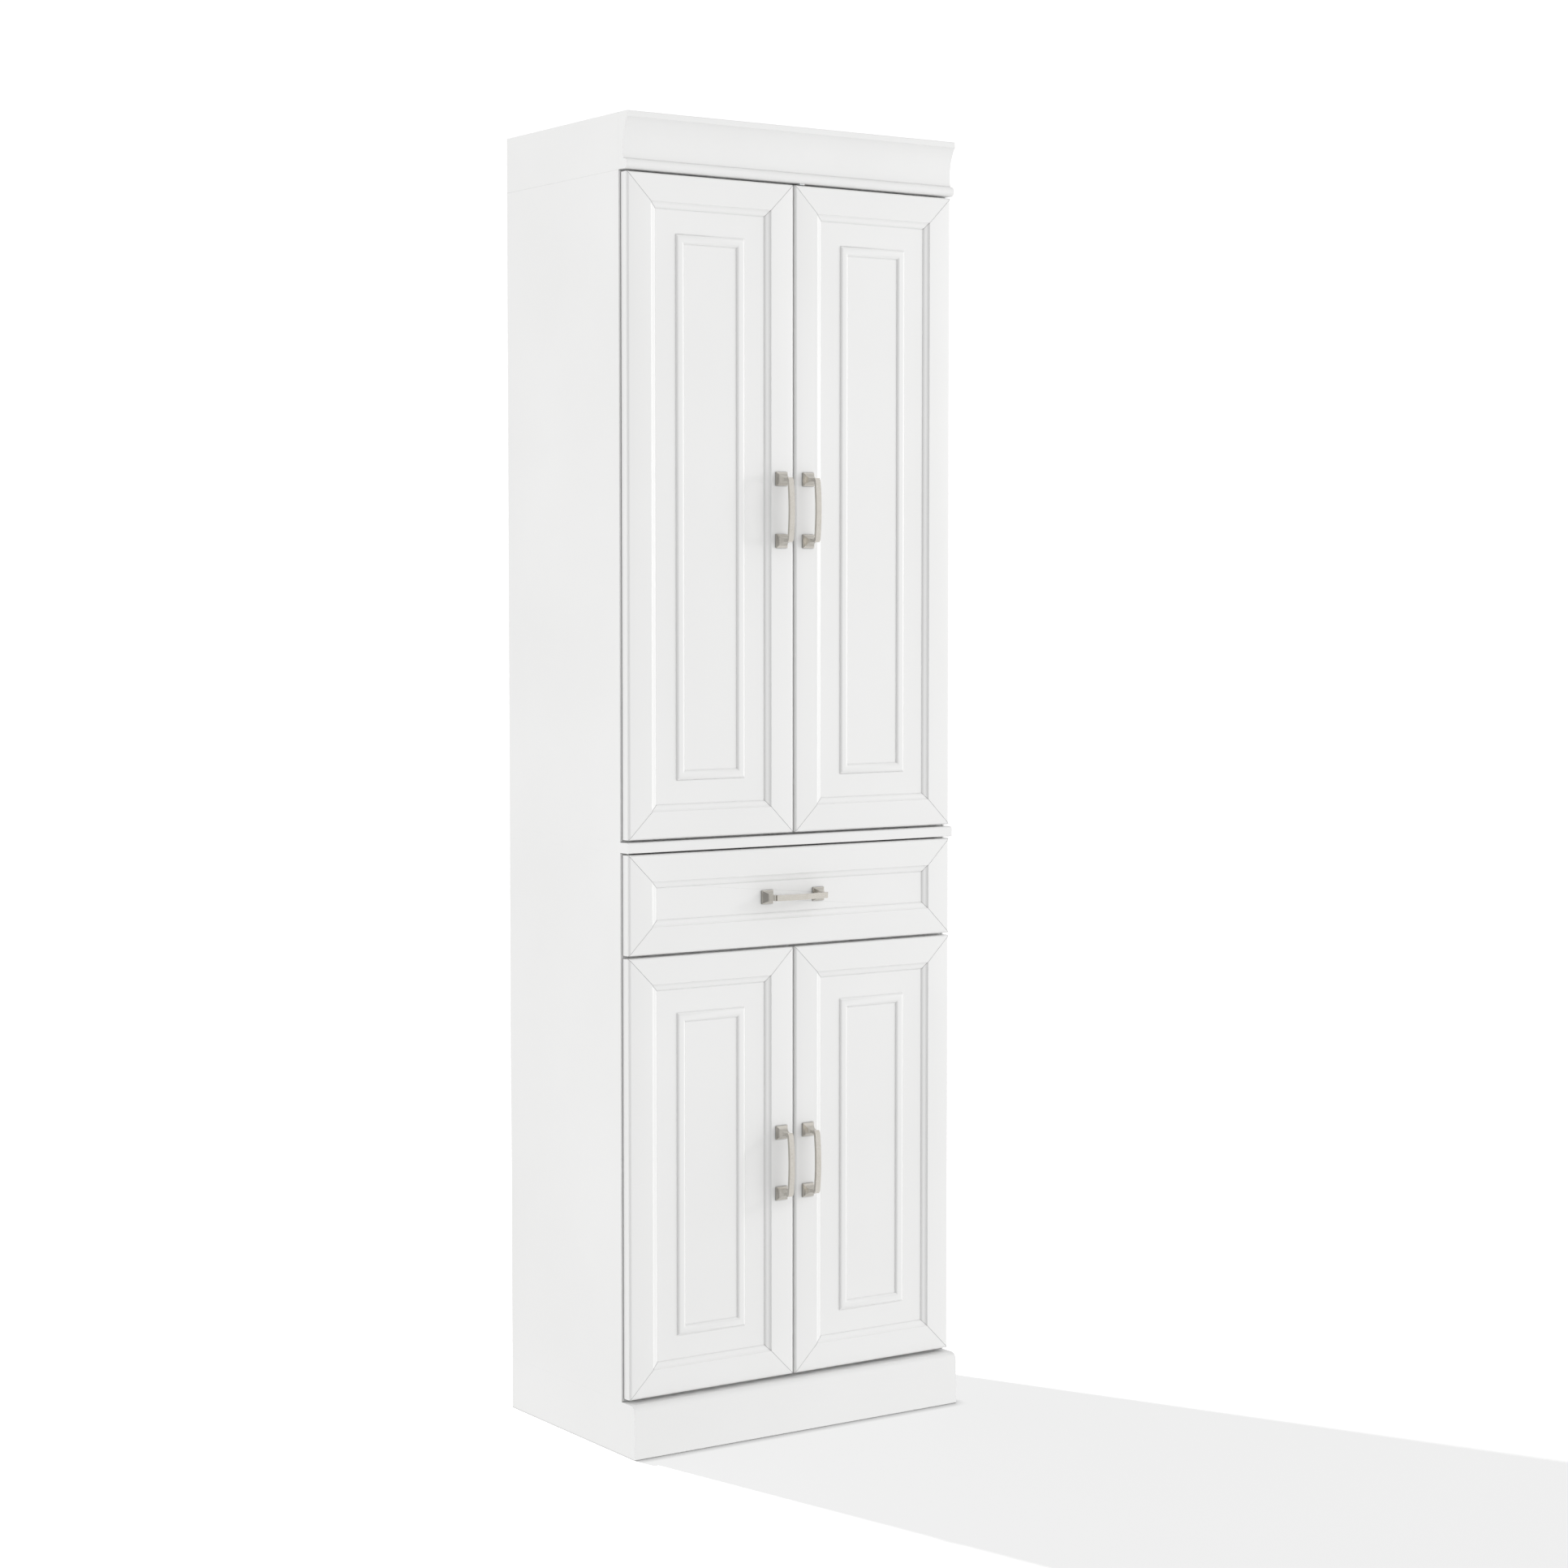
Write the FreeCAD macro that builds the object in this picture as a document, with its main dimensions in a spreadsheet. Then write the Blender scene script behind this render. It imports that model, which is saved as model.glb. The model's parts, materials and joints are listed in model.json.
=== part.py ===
"""Tall stacked pantry cabinet: crown, two-door upper cabinet, waist board, drawer over two doors, plinth.

Millimetres. +Z is up and the front faces -Y. X = 0 is the middle of the width, Z = 0 is the floor, and
Y = 0 is halfway between the wall side and the front of the door handles.
Every size below is a cell of the Dims sheet; the pieces are bound to the cells by expressions.
"""

import FreeCAD, Part
import math
import os
import re
import Sketcher
from FreeCAD import Placement, Rotation, Vector

DIMENSIONS = (
    # Whole cabinet
    ("width", 610),
    ("height", 2032),
    ("carcass_depth", 342),
    ("board", 16),
    ("back_board", 5),
    # Heights of the stacked units above the floor
    ("plinth_height", 82.5),
    ("waist_low", 922),
    ("waist_high", 938),
    ("crown_low", 1946.5),
    ("divider_low", 756),
    # Doors and drawer front
    ("door_gap", 1.5),
    ("door_thickness", 18),
    ("door_inset", 3),
    ("centre_gap", 3),
    ("upper_door_low", 941.5),
    ("upper_door_high", 1943.5),
    ("drawer_low", 766),
    ("drawer_high", 919),
    ("lower_door_low", 87.5),
    ("lower_door_high", 762),
    # Section of the mitred frame members
    ("member_face", 41.5),
    ("sticking", 10.5),
    ("cove_width", 5),
    ("cove_depth", 2.6),
    ("cove_radius", 7.1),
    ("ovolo_start", 5.5),
    ("ovolo_depth", 2.75),
    ("ovolo_radius", 6.8),
    ("recess", 5.5),
    ("edge_round", 4),
    ("mitre_gap", 0.4),
    # Flat panel and the raised bead on it
    ("panel_thickness", 8),
    ("groove", 8),
    ("groove_play", 1),
    ("bead_inset", 88),
    ("bead_width", 15),
    ("bead_height", 3),
    ("bead_shoulder", 5),
    ("bead_radius", 6.2),
    ("bead_let_in", 0.5),
    # Crown moulding, measured forward of the carcass front and up from the crown's underside
    ("crown_lip_out", 26),
    ("crown_lip_height", 9),
    ("crown_lip_round", 2),
    ("crown_cove_start", 24.5),
    ("crown_cove_out", 12.5),
    ("crown_cove_rise", 31.5),
    ("crown_cove_radius", 83),
    ("crown_neck_out", 14.6),
    ("crown_neck_rise", 15.5),
    ("crown_neck_radius", 58),
    ("crown_bead_out", 24),
    ("crown_bead_rise", 7),
    ("crown_bead_radius", 8.6),
    ("crown_top_drop", 8),
    # Waist board
    ("waist_out", 22.5),
    ("waist_top_round", 4),
    ("waist_under_round", 2),
    # Plinth
    ("plinth_out", 38),
    ("plinth_round", 12),
    ("plinth_ease", 1.2),
    # Bar pulls
    ("pull_spacing", 96),
    ("pull_from_edge", 23.5),
    ("handle_projection", 31.5),
    ("pull_foot", 21),
    ("pull_plate", 3),
    ("pull_flare", 19),
    ("pull_flare_rise", 20),
    ("pull_bar_width", 9),
    ("pull_bar_thick", 4.5),
    ("pull_bow", 3.5),
    ("pull_neck", 3.6),
    ("pull_neck_shift", 1.2),
    ("pull_collar", 5.6),
    ("pull_collar_high", 26.2),
    ("pull_collar_slope", 1.2),
    ("pull_plate_round", 1),
    ("pull_let_in", 0.5),
    ("pull_side_radius", 24),
    ("pull_side_lean", 1.5),
    ("pull_front_radius", 30),
    ("pull_bar_inset", 0.6),
    ("screw_radius", 1.95),
    ("thread_radius", 2),
    ("screw_bore_radius", 2.25),
    ("screw_in_foot", 9),
    ("screw_head_radius", 4),
    ("screw_head_high", 2.4),
    # Concealed cup hinges
    ("cup_from_edge", 22.5),
    ("cup_radius", 17.5),
    ("cup_bore_radius", 17.6),
    ("cup_depth", 12),
    ("cup_wall", 1),
    ("hinge_end", 100),
    ("hinge_middle_shift", 60),
    ("plate_setback", 37),
    ("flange_short", 7),
    ("flange_long", 9),
    ("flange_half_height", 30),
    ("flange_thickness", 1),
    ("cup_rim", 0.4),
    ("link_shift", 2),
    ("link_half_width", 5),
    ("link_half_height", 6),
    ("plate_thickness", 2.2),
    ("plate_half_depth", 17),
    ("plate_half_height", 26),
    ("arm_half_height", 6.5),
    ("arm_low", 5),
    ("arm_high", 13),
    ("arm_foot", 1.5),
    ("arm_foot_half", 14),
    ("arm_heel", 7),
    ("arm_clear", 0.8),
    # Shelves and the bored rows for their pins
    ("shelf_setback", 22),
    ("shelf_play", 1),
    ("pin_radius", 2.45),
    ("pin_hole_radius", 2.5),
    ("pin_hole_depth", 10),
    ("pin_length", 17),
    ("pin_pitch", 32),
    ("pin_rear_setback", 50),
    ("upper_first_pin", 1023.5),
    ("lower_first_pin", 250),
    # Drawer box and its runners
    ("slide_space", 13),
    ("box_board", 12),
    ("box_low", 784),
    ("box_high", 884),
    ("box_length", 302),
    ("box_bottom_low", 791),
    ("box_bottom", 5),
    ("box_groove", 5),
    ("slide_centre", 834),
    ("sheet_steel", 1.2),
    ("cabinet_rail_lip", 8.5),
    ("cabinet_rail_half", 22.5),
    ("middle_rail_web", 2.2),
    ("middle_rail_lip", 9.5),
    ("middle_rail_half", 20.5),
    ("drawer_rail_lip", 4.6),
    ("drawer_rail_half", 18.6),
)

doc = FreeCAD.newDocument("pantry_cabinet")
sheet = doc.addObject("Spreadsheet::Sheet", "Dims")
for row, (alias, value) in enumerate(DIMENSIONS, start=1):
    sheet.set(f"A{row}", alias)
    sheet.set(f"B{row}", str(value))
    sheet.setAlias(f"B{row}", alias)
doc.recompute()

# Each plane gives a sketch's turn, and the axis that its outlines are drawn out along.
PLANES = {
    "XY": (Rotation(), "z", Vector(0, 0, 1)),
    "XZ": (Rotation(Vector(1, 0, 0), 90), "y", Vector(0, 1, 0)),
    "YZ": (Rotation(Vector(1, 1, 1), 120), "x", Vector(1, 0, 0)),
}

nodes = []


def bound(text):
    """The expression with each dimension named as a cell of the sheet."""
    return re.sub(r"[a-z][a-z_]*", lambda found: "Dims." + found.group(), text)


def number(text):
    """The value of an expression, as a plain number."""
    return float(sheet.evalExpression(bound(text)))


def bind(item, target, text):
    item.setExpression(target, bound(text))


def node(name, item):
    """Registers a finished piece under the name that its file gets."""
    item.Label = name
    nodes.append(item)
    return item


def board(name, x, y, z):
    """A rectangular board; x, y and z are (low, high) pairs of expressions."""
    item = doc.addObject("Part::Box", name)
    for size, axis, (low, high) in zip(("Length", "Width", "Height"), "xyz", (x, y, z)):
        bind(item, size, f"({high}) - ({low})")
        bind(item, f"Placement.Base.{axis}", low)
    return item


def rod(name, axis, low, high, centre, radius):
    """A cylinder along an axis; centre is the pair of expressions for the other two axes in order."""
    turns = {"x": Rotation(Vector(0, 1, 0), 90), "y": Rotation(Vector(1, 0, 0), -90), "z": Rotation()}
    item = doc.addObject("Part::Cylinder", name)
    item.Placement = Placement(Vector(), turns[axis])
    bind(item, "Radius", radius)
    bind(item, "Height", f"({high}) - ({low})")
    bind(item, f"Placement.Base.{axis}", low)
    for other, place in zip([letter for letter in "xyz" if letter != axis], centre):
        bind(item, f"Placement.Base.{other}", place)
    return item


def arc_between(start, stop, radius, side):
    """The short arc from start to stop whose centre is left (side 1) or right (side -1) of the way."""
    chord = stop - start
    middle = (start + stop) * 0.5
    rise = math.sqrt(max(radius**2 - (chord.Length / 2) ** 2, 0))
    across = Vector(-chord.y, chord.x, 0).normalize() * (side * rise)
    centre = middle + across
    first, last = (start, stop) if side > 0 else (stop, start)
    begin = math.atan2(first.y - centre.y, first.x - centre.x)
    end = math.atan2(last.y - centre.y, last.x - centre.x)
    if end < begin:
        end += 2 * math.pi
    return Part.ArcOfCircle(Part.Circle(centre, Vector(0, 0, 1), radius), begin, end)


def outline(name, plane, offset, loops):
    """A sketch of closed outlines. A corner is (u, v), or (u, v, radius, side) where an arc leaves it."""
    sketch = doc.addObject("Sketcher::SketchObject", name)
    turn, axis, _ = PLANES[plane]
    sketch.Placement = Placement(Vector(), turn)
    bind(sketch, f"Placement.Base.{axis}", offset)
    for corners in loops:
        points = [Vector(number(corner[0]), number(corner[1]), 0) for corner in corners]
        ends = []
        for index, corner in enumerate(corners):
            start = points[index]
            stop = points[(index + 1) % len(points)]
            if len(corner) == 2:
                edge = sketch.addGeometry(Part.LineSegment(start, stop))
                ends.append((edge, 1, 2))
                continue
            radius, side = corner[2:]
            edge = sketch.addGeometry(arc_between(start, stop, number(radius), side))
            place = sketch.addConstraint(Sketcher.Constraint("Radius", edge, number(radius)))
            bind(sketch, f"Constraints[{place}]", radius)
            ends.append((edge, 1, 2) if side > 0 else (edge, 2, 1))
        for index, (edge, first, last) in enumerate(ends):
            following, begins, _ = ends[(index + 1) % len(ends)]
            sketch.addConstraint(Sketcher.Constraint("Coincident", edge, last, following, begins))
            for kind, value, text in zip(("DistanceX", "DistanceY"), points[index], corners[index]):
                place = sketch.addConstraint(Sketcher.Constraint(kind, -1, 1, edge, first, value))
                bind(sketch, f"Constraints[{place}]", text)
    return sketch


def circles(name, plane, offset, centres, radius):
    """A sketch of equal circles at (u, v) centres."""
    sketch = doc.addObject("Sketcher::SketchObject", name)
    turn, axis, _ = PLANES[plane]
    sketch.Placement = Placement(Vector(), turn)
    bind(sketch, f"Placement.Base.{axis}", offset)
    for centre in centres:
        middle = Vector(number(centre[0]), number(centre[1]), 0)
        edge = sketch.addGeometry(Part.Circle(middle, Vector(0, 0, 1), number(radius)))
        place = sketch.addConstraint(Sketcher.Constraint("Radius", edge, number(radius)))
        bind(sketch, f"Constraints[{place}]", radius)
        for kind, value, text in zip(("DistanceX", "DistanceY"), middle, centre):
            place = sketch.addConstraint(Sketcher.Constraint(kind, -1, 1, edge, 3, value))
            bind(sketch, f"Constraints[{place}]", text)
    return sketch


def drawn_out(name, sketch, plane, length):
    """A solid from a sketch drawn out along its plane's axis."""
    item = doc.addObject("Part::Extrusion", name)
    item.Base = sketch
    item.DirMode = "Custom"
    item.Dir = PLANES[plane][2]
    item.Solid = True
    item.FaceMakerClass = "Part::FaceMakerBullseye"
    bind(item, "LengthFwd", length)
    return item


def prism(name, plane, low, high, *loops):
    """Closed outlines in a plane, drawn out from low to high."""
    return drawn_out(name, outline(name + "_outline", plane, low, loops), plane, f"({high}) - ({low})")


def combined(kind, name, pieces):
    item = doc.addObject(kind, name)
    if kind == "Part::Compound":
        item.Links = pieces
    else:
        item.Shapes = pieces
    return item


def group(name, pieces):
    return combined("Part::Compound", name, pieces)


def joined(name, pieces):
    return combined("Part::MultiFuse", name, pieces)


def shared(name, pieces):
    return combined("Part::MultiCommon", name, pieces)


def carved(name, base, *tools):
    """The base with each tool cut from it in turn."""
    for step, tool in enumerate(tools, start=1):
        item = doc.addObject("Part::Cut", name if step == len(tools) else f"{name}_step_{step}")
        item.Base = base
        item.Tool = tool
        base = item
    return base


def turned(corners):
    """The same section with its two axes swapped, which also swaps the side of each arc."""
    return [
        (corner[1], corner[0]) if len(corner) == 2 else (corner[1], corner[0], corner[2], -corner[3])
        for corner in corners
    ]


# Planes and edges that many pieces share
FRONT = "(door_gap + door_thickness + handle_projection - carcass_depth) / 2"
BACK = f"({FRONT} + carcass_depth)"
BACK_INSIDE = f"({BACK} - back_board)"
DOOR_BACK = f"({FRONT} - door_gap)"
DOOR_FACE = f"({FRONT} - door_gap - door_thickness)"
LEFT = "(-width / 2)"
RIGHT = "(width / 2)"
INNER_LEFT = "(board - width / 2)"
INNER_RIGHT = "(width / 2 - board)"
MEMBER = "(member_face + sticking)"


def sorted_pair(near, far, way):
    """The pair from low to high: way is 1 where near is the lower of the two, and -1 where far is."""
    return (near, far) if way > 0 else (far, near)


def pillow(name, x, y, z, shoulder, rise, radius):
    """A slab whose four front edges are rounded; y is (front, back)."""
    front, back = y

    def section(low, high):
        return [
            (low, back),
            (high, back),
            (high, f"{front} + {rise}", radius, -1),
            (f"{high} - {shoulder}", front),
            (f"{low} + {shoulder}", front, radius, -1),
            (low, f"{front} + {rise}"),
        ]

    upright = prism(name + "_upright", "XY", z[0], z[1], section(*x))
    level = prism(name + "_level", "YZ", x[0], x[1], turned(section(*z)))
    return shared(name, [upright, level])


def panelled_front(name, x, z, beaded):
    """The frame blank with its moulded opening, the groove and the mitre cuts, and the panel."""
    cove_depth = f"{DOOR_FACE} + cove_depth"
    ovolo_depth = f"{DOOR_FACE} + ovolo_depth"
    depth_full = f"{DOOR_FACE} + recess"
    beyond = f"{DOOR_FACE} - 1"
    through = f"{DOOR_BACK} + 1"

    def opening(low, high):
        near, far = f"{low} + member_face", f"{high} - member_face"
        return [
            (near, beyond),
            (near, DOOR_FACE, "cove_radius", -1),
            (f"{near} + cove_width", cove_depth),
            (f"{near} + ovolo_start", ovolo_depth, "ovolo_radius", 1),
            (f"{near} + sticking", depth_full),
            (f"{near} + sticking", through),
            (f"{far} - sticking", through),
            (f"{far} - sticking", depth_full, "ovolo_radius", 1),
            (f"{far} - ovolo_start", ovolo_depth),
            (f"{far} - cove_width", cove_depth, "cove_radius", -1),
            (far, DOOR_FACE),
            (far, beyond),
        ]

    blank = pillow(name + "_blank", x, (DOOR_FACE, DOOR_BACK), z, "edge_round", "edge_round", "edge_round")
    moulded = shared(
        name + "_opening",
        [
            prism(name + "_opening_upright", "XY", z[0], z[1], opening(*x)),
            prism(name + "_opening_level", "YZ", x[0], x[1], turned(opening(*z))),
        ],
    )
    panel_y = (depth_full, f"{depth_full} + panel_thickness")
    spans = [(f"{low} + {MEMBER} - groove", f"{high} - {MEMBER} + groove") for low, high in (x, z)]
    groove = board(name + "_groove", spans[0], panel_y, spans[1])
    spread = "mitre_gap * 0.7071"
    cuts = []
    for x_edge, x_way in ((x[0], "+"), (x[1], "-")):
        for z_edge, z_way in ((z[0], "+"), (z[1], "-")):
            x_near = f"{x_edge} {x_way} (-2)"
            z_near = f"{z_edge} {z_way} (-2)"
            x_far = f"{x_edge} {x_way} ({MEMBER} + 2)"
            z_far = f"{z_edge} {z_way} ({MEMBER} + 2)"
            cuts.append(
                [
                    (x_near, f"{z_near} - {spread}"),
                    (x_far, f"{z_far} - {spread}"),
                    (x_far, f"{z_far} + {spread}"),
                    (x_near, f"{z_near} + {spread}"),
                ]
            )
    mitres = prism(name + "_mitres", "XZ", beyond, through, *cuts)
    inner = [(f"{low} + groove_play", f"{high} - groove_play") for low, high in spans]
    panel = board(name + "_panel_board", inner[0], panel_y, inner[1])
    if beaded:
        panel = joined(name + "_beaded_panel", [panel, bead(name + "_bead", x, z, depth_full)])
    return blank, (moulded, groove, mitres), panel


def bead(name, x, z, base):
    """The raised moulding that runs round a door panel, let a little into its face."""
    crest = f"{base} - bead_height"
    outer = [(f"{low} + bead_inset", f"{high} - bead_inset") for low, high in (x, z)]
    slab = pillow(
        name + "_slab",
        outer[0],
        (crest, f"{base} + bead_let_in"),
        outer[1],
        "bead_shoulder",
        "bead_height",
        "bead_radius",
    )

    def hollow(low, high):
        near, far = f"{low} + bead_width", f"{high} - bead_width"
        return [
            (f"{near} - bead_shoulder", crest, "bead_radius", 1),
            (near, base),
            (near, f"{base} + 1"),
            (far, f"{base} + 1"),
            (far, base, "bead_radius", 1),
            (f"{far} + bead_shoulder", crest),
            (f"{far} + bead_shoulder", f"{crest} - 1"),
            (f"{near} - bead_shoulder", f"{crest} - 1"),
        ]

    inside = shared(
        name + "_inside",
        [
            prism(name + "_inside_upright", "XY", outer[1][0], outer[1][1], hollow(*outer[0])),
            prism(name + "_inside_level", "YZ", outer[0][0], outer[0][1], turned(hollow(*outer[1]))),
        ],
    )
    return carved(name, slab, inside)


def pull(name):
    """A bowed bar pull about its own middle: the bar runs along Z and stands out along -Y."""
    bar_back = "pull_bar_thick - handle_projection + pull_bow"
    half = "pull_spacing / 2"
    pieces = []
    holes = []
    for end, way in (("low", -1), ("high", 1)):
        middle = f"{way} * {half}"
        foot = f"{name}_{end}"
        plate = pillow(
            foot + "_plate",
            ("-pull_foot / 2", "pull_foot / 2"),
            ("-pull_plate", "0"),
            (f"{middle} - pull_foot / 2", f"{middle} + pull_foot / 2"),
            "pull_plate_round",
            "pull_plate_round",
            "pull_plate_round",
        )
        neck = f"{middle} - {way} * pull_neck_shift"
        side_section = [
            (f"{middle} - pull_flare / 2", "pull_let_in - pull_plate"),
            (f"{middle} - pull_flare / 2", "-pull_plate", f"pull_side_radius - {way} * pull_side_lean", -1),
            (f"{neck} - pull_neck / 2", "-pull_flare_rise"),
            (f"{neck} - pull_collar / 2", "-pull_flare_rise - pull_collar_slope"),
            (f"{neck} - pull_collar / 2", "-pull_collar_high"),
            (f"{neck} + pull_collar / 2", "-pull_collar_high"),
            (f"{neck} + pull_collar / 2", "-pull_flare_rise - pull_collar_slope"),
            (f"{neck} + pull_neck / 2", "-pull_flare_rise", f"pull_side_radius + {way} * pull_side_lean", -1),
            (f"{middle} + pull_flare / 2", "-pull_plate"),
            (f"{middle} + pull_flare / 2", "pull_let_in - pull_plate"),
        ]
        front_section = [
            ("-pull_flare / 2", "pull_let_in - pull_plate"),
            ("-pull_flare / 2", "-pull_plate", "pull_front_radius", -1),
            ("-pull_bar_width / 2", "-pull_flare_rise"),
            ("-pull_bar_width / 2", "-handle_projection"),
            ("pull_bar_width / 2", "-handle_projection"),
            ("pull_bar_width / 2", "-pull_flare_rise", "pull_front_radius", -1),
            ("pull_flare / 2", "-pull_plate"),
            ("pull_flare / 2", "pull_let_in - pull_plate"),
        ]
        flare = shared(
            foot + "_flare",
            [
                prism(foot + "_side", "YZ", "-pull_foot / 2", "pull_foot / 2", turned(side_section)),
                prism(
                    foot + "_front",
                    "XY",
                    f"{middle} - pull_foot / 2",
                    f"{middle} + pull_foot / 2",
                    front_section,
                ),
            ],
        )
        pieces += [plate, flare]
        holes.append(rod(foot + "_thread", "y", "-screw_in_foot - 2", "1", ("0", middle), "thread_radius"))
    reach = f"{half} - pull_bar_inset"
    bow_radius = f"(({reach}) ^ 2 + pull_bow ^ 2) / (2 * pull_bow)"
    bar = prism(
        name + "_bar",
        "YZ",
        "-pull_bar_width / 2",
        "pull_bar_width / 2",
        [
            (bar_back, f"-({reach})", bow_radius, -1),
            (bar_back, reach),
            ("pull_bow - handle_projection", reach, bow_radius, 1),
            ("pull_bow - handle_projection", f"-({reach})"),
        ],
    )
    return carved(name, joined(name + "_solid", pieces + [bar]), group(name + "_threads", holes))


def fitted_pull(name, x, y, z, lying):
    """A pull set on a front at x, y, z; a lying pull runs along X."""
    item = node(name, pull(name))
    item.Placement = Placement(Vector(), Rotation(Vector(0, 1, 0), 90 if lying else 0))
    for axis, place in zip("xyz", (x, y, z)):
        bind(item, f"Placement.Base.{axis}", place)
    return item


def pull_screws(name, centres, seat, head):
    """Two screws that pass from behind through the front into the pull's feet."""
    screws = []
    for index, centre in enumerate(centres):
        tip = f"{seat} - screw_in_foot"
        top = f"{head} + screw_head_high"
        shank = rod(f"{name}_shank_{index}", "y", tip, f"{head} + 0.5", centre, "screw_radius")
        cap = rod(f"{name}_head_{index}", "y", head, top, centre, "screw_head_radius")
        screws.append(joined(f"{name}_screw_{index}", [shank, cap]))
    return node(name, group(name, screws))


def screw_bores(name, centres, front, back):
    """Clearance holes for a pull's screws, run a millimetre past both faces."""
    return [
        rod(f"{name}_{index}", "y", f"{front} - 1", f"{back} + 1", centre, "screw_bore_radius")
        for index, centre in enumerate(centres)
    ]


def hinge_heights(low, high, count):
    """Levels of a door's hinges: one near each end, and where there are three, one above the middle."""
    ends = [f"{low} + hinge_end", f"{high} - hinge_end"]
    if count == 2:
        return ends
    return [ends[0], f"({low} + {high}) / 2 + hinge_middle_shift", ends[1]]


def door(name, x, z, way, hinges):
    """A door hung on its outer side; way is 1 for the left door and -1 for the right."""
    blank, tools, panel = panelled_front(name + "_door", x, z, beaded=True)
    hung, free = (x[0], x[1]) if way > 0 else (x[1], x[0])
    pull_x = f"{free} - {way} * pull_from_edge"
    middle = f"({z[0]} + {z[1]}) / 2"
    screw_centres = [(pull_x, f"{middle} {sign} pull_spacing / 2") for sign in "+-"]
    cup_x = f"{hung} + {way} * cup_from_edge"
    bores = screw_bores(name + "_screw_bore", screw_centres, DOOR_FACE, DOOR_BACK)
    cups = []
    for index, level in enumerate(hinges):
        bores.append(
            rod(
                f"{name}_cup_bore_{index}",
                "y",
                f"{DOOR_BACK} - cup_depth - 0.1",
                f"{DOOR_BACK} + 1",
                (cup_x, level),
                "cup_bore_radius",
            )
        )
        cups.append(hinge_cup(f"{name}_cup_{index}", cup_x, level, way))
    frame = carved(name + "_door_frame", blank, *tools, group(name + "_bores", bores))
    node(name + "_door_frame", frame)
    node(name + "_door_panel", panel)
    fitted_pull(name + "_door_handle", pull_x, DOOR_FACE, middle, lying=False)
    pull_screws(name + "_handle_screws", screw_centres, DOOR_FACE, DOOR_BACK)
    node(name + "_hinge_cups", group(name + "_hinge_cups", cups))


def hinge_cup(name, x, z, way):
    """The pressed cup, its flange on the back of the door and the short link block in it."""
    floor = f"{DOOR_BACK} - cup_depth"
    shell = rod(name + "_shell", "y", floor, f"{DOOR_BACK} + cup_rim", (x, z), "cup_radius")
    flange = board(
        name + "_flange",
        sorted_pair(f"{x} - {way} * flange_short", f"{x} + {way} * flange_long", way),
        (DOOR_BACK, f"{DOOR_BACK} + flange_thickness"),
        (f"{z} - flange_half_height", f"{z} + flange_half_height"),
    )
    clear = f"{DOOR_BACK} + flange_thickness + 1"
    inside = rod(name + "_inside", "y", f"{floor} + cup_wall", clear, (x, z), "cup_radius - cup_wall")
    cup = carved(name + "_cup", joined(name + "_body", [shell, flange]), inside)
    link_x = f"{x} - {way} * link_shift"
    link = board(
        name + "_link",
        (f"{link_x} - link_half_width", f"{link_x} + link_half_width"),
        (f"{floor} + cup_wall - 0.2", f"{DOOR_BACK} + 0.6"),
        (f"{z} - link_half_height", f"{z} + link_half_height"),
    )
    return joined(name, [cup, link])


def hinge_plate(name, wall, way, z):
    """The mounting plate on the inside of a cabinet side, with the arm that reaches the front edge."""
    middle = f"{FRONT} + plate_setback"
    nose = f"{FRONT} + arm_clear"
    foot, low, high = (f"{wall} + {way} * {rise}" for rise in ("arm_foot", "arm_low", "arm_high"))
    plate = board(
        name + "_plate",
        sorted_pair(wall, f"{wall} + {way} * plate_thickness", way),
        (f"{middle} - plate_half_depth", f"{middle} + plate_half_depth"),
        (f"{z} - plate_half_height", f"{z} + plate_half_height"),
    )
    arm = prism(
        name + "_arm",
        "XY",
        f"{z} - arm_half_height",
        f"{z} + arm_half_height",
        [
            (foot, f"{middle} - arm_foot_half"),
            (low, f"{nose} + 7.2"),
            (low, nose),
            (f"{high} - {way}", nose),
            (high, f"{nose} + 11.2"),
            (high, f"{middle} + 22"),
            (f"{wall} + {way} * arm_heel", f"{middle} + 24"),
            (foot, f"{middle} + arm_foot_half"),
        ],
    )
    return joined(name, [plate, arm])


def pin_rows(first, count):
    """Centres (y, z) of the two bored rows in a cabinet side."""
    rows = (f"{FRONT} + plate_setback", f"{BACK_INSIDE} - pin_rear_setback")
    return [(row, f"{first} + {step} * pin_pitch") for row in rows for step in range(count)]


def cabinet_side(name, way, low, high, first_pin, pin_count):
    """A side board with its bored rows; way is 1 for the left side and -1 for the right."""
    outside = f"-{way} * width / 2"
    inside = f"{outside} + {way} * board"
    blank = board(name + "_blank", sorted_pair(outside, inside, way), (FRONT, BACK), (low, high))
    start = f"{inside} - pin_hole_depth" if way > 0 else inside
    rows = circles(name + "_rows", "YZ", start, pin_rows(first_pin, pin_count), "pin_hole_radius")
    return node(name, carved(name, blank, drawn_out(name + "_row_bores", rows, "YZ", "pin_hole_depth")))


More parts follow.
